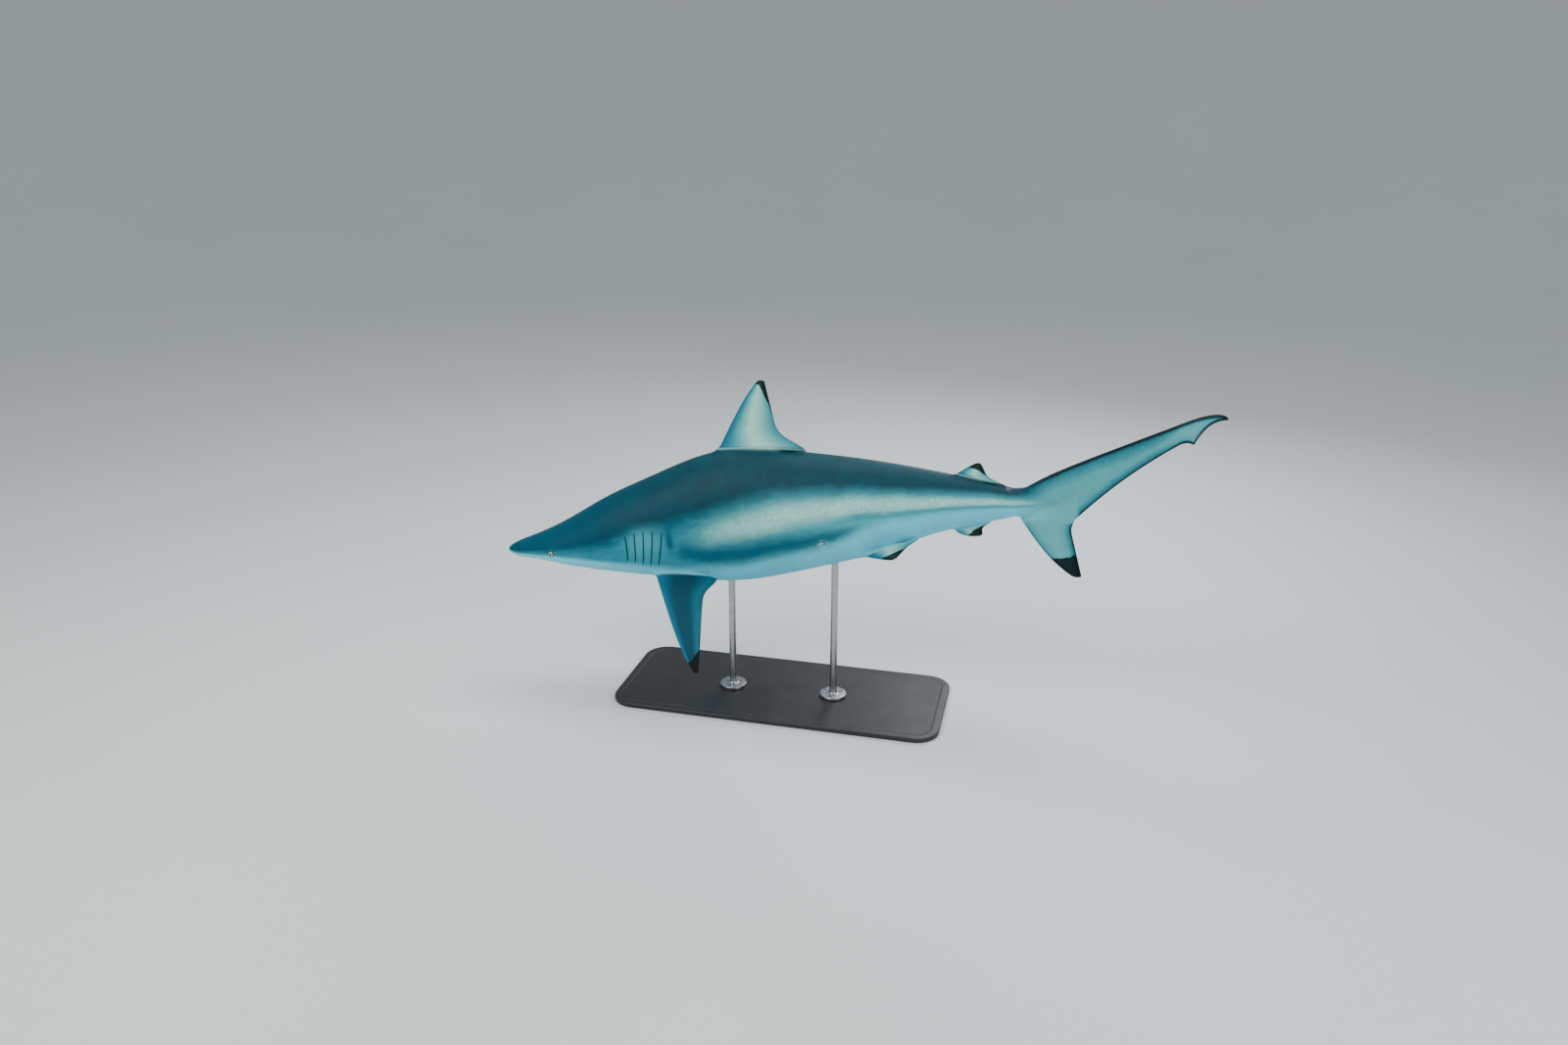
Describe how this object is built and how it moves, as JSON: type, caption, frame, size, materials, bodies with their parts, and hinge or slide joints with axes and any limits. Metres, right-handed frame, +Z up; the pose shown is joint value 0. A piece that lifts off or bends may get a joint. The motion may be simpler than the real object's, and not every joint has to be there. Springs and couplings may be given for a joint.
{
  "type": "blacktip shark display model",
  "caption": "Life-size still model of a swimming blacktip shark, held above a flat base by two short steel rods.",
  "frame": {"origin": "middle of the stand base's underside, on the surface that the model rests on", "axes": "the head points to -X and the tail to +X, the left side faces -Y, and +Z is up"},
  "size_m": [1.6771, 0.5891, 0.8641],
  "materials": {
    "shark_skin": "satin, finely rough, dark above and pale below",
    "shark_eye": "glossy",
    "stand_black": "satin",
    "stand_steel": "brushed"
  },
  "bodies": {
    "root": {"head": "shark_skin", "lower_jaw": "shark_skin", "trunk_front": "shark_skin", "trunk_rear": "shark_skin", "tail_stock": "shark_skin", "upper_tail_lobe": "shark_skin", "lower_tail_lobe": "shark_skin", "first_dorsal_fin": "shark_skin", "second_dorsal_fin": "shark_skin", "anal_fin": "shark_skin", "pectoral_fin_left": "shark_skin", "pectoral_fin_right": "shark_skin", "pelvic_fin_left": "shark_skin", "pelvic_fin_right": "shark_skin", "eye_left": "shark_eye", "eye_right": "shark_eye", "stand_base": "stand_black", "stand_rod_front": "stand_steel", "stand_rod_rear": "stand_steel"}
  },
  "joints": []
}
